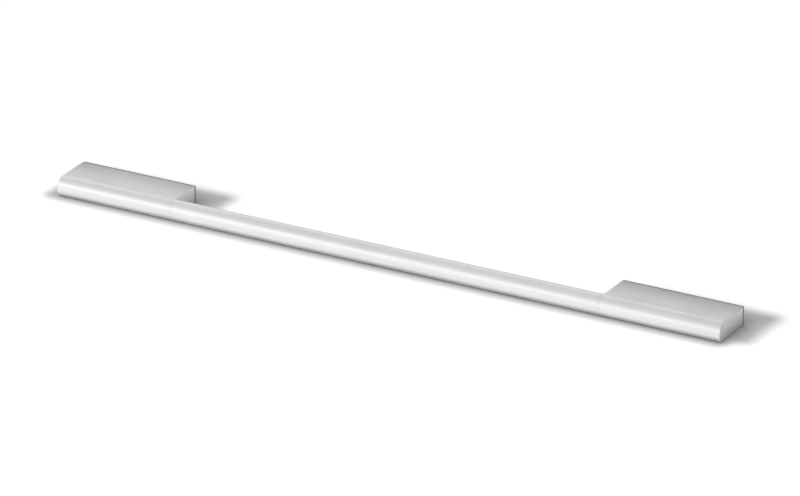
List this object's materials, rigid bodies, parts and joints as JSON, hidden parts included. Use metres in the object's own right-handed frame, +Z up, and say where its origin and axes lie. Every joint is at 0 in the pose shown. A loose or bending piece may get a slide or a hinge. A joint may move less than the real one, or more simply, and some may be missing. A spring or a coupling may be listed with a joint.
{
  "type": "refrigerator door handle",
  "caption": "Straight bar handle for an appliance door: a round-nosed grip bar held off the door by long flush end feet with fixing threads in their backs.",
  "frame": {"origin": "middle of the line of fixing holes, on the door's face", "axes": "+X along the bar, +Y into the door so the grip faces -Y, +Z up as the handle lies level"},
  "size_m": [0.75, 0.053, 0.02],
  "materials": {
    "bar_metal": "satin anodised",
    "foot_metal": "satin anodised",
    "pad": "fine moulded grain",
    "steel": "bright zinc plated",
    "insert": "turned"
  },
  "bodies": {
    "root": {"grip_bar": "bar_metal", "left_foot": "foot_metal", "right_foot": "foot_metal", "left_base_pad": "pad", "right_base_pad": "pad", "left_joint_screw": "steel", "right_joint_screw": "steel", "left_lock_washer": "steel", "right_lock_washer": "steel", "left_inner_insert": "insert", "left_outer_insert": "insert", "right_inner_insert": "insert", "right_outer_insert": "insert"}
  },
  "joints": []
}
